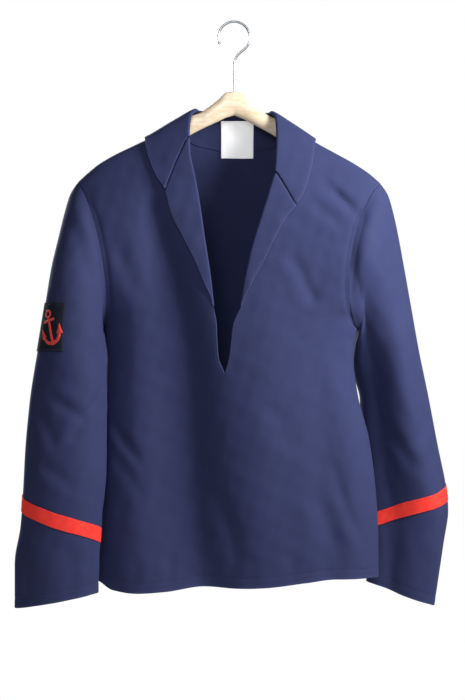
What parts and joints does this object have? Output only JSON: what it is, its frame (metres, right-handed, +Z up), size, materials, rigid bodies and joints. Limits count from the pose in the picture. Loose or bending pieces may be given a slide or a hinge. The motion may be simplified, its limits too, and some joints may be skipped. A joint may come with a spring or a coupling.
{
  "type": "sailor shirt on a hanger",
  "caption": "Pullover sailor smock of navy wool with folded collar, deep slit neck, slanting red cuff tapes and a sleeve badge, hung on a wooden hanger with a wire hook",
  "frame": {"origin": "the inside of the hook's top, where a rail carries the hanger", "axes": "+Z up along the height of the hung smock; the front faces -Y; the wearer's left hand is at +X"},
  "size_m": [0.6557, 0.2102, 0.8914],
  "materials": {
    "gabardine": "woven wool gabardine, soft nap",
    "red_tape": "ribbed braid",
    "patch_cloth": "felted wool",
    "red_thread": "satin stitch",
    "label_tape": "woven tape",
    "hanger_wood": "clear varnish",
    "hook_wire": "bright drawn wire"
  },
  "bodies": {
    "root": {"front": "gabardine", "back": "gabardine", "sleeve_right": "gabardine", "sleeve_left": "gabardine", "collar": "gabardine", "lapel_right": "gabardine", "lapel_left": "gabardine", "cuff_tape_right": "red_tape", "cuff_tape_left": "red_tape", "badge_patch": "patch_cloth", "badge_anchor": "red_thread", "neck_label": "label_tape", "hanger_bar": "hanger_wood", "hanger_hook": "hook_wire"}
  },
  "joints": []
}
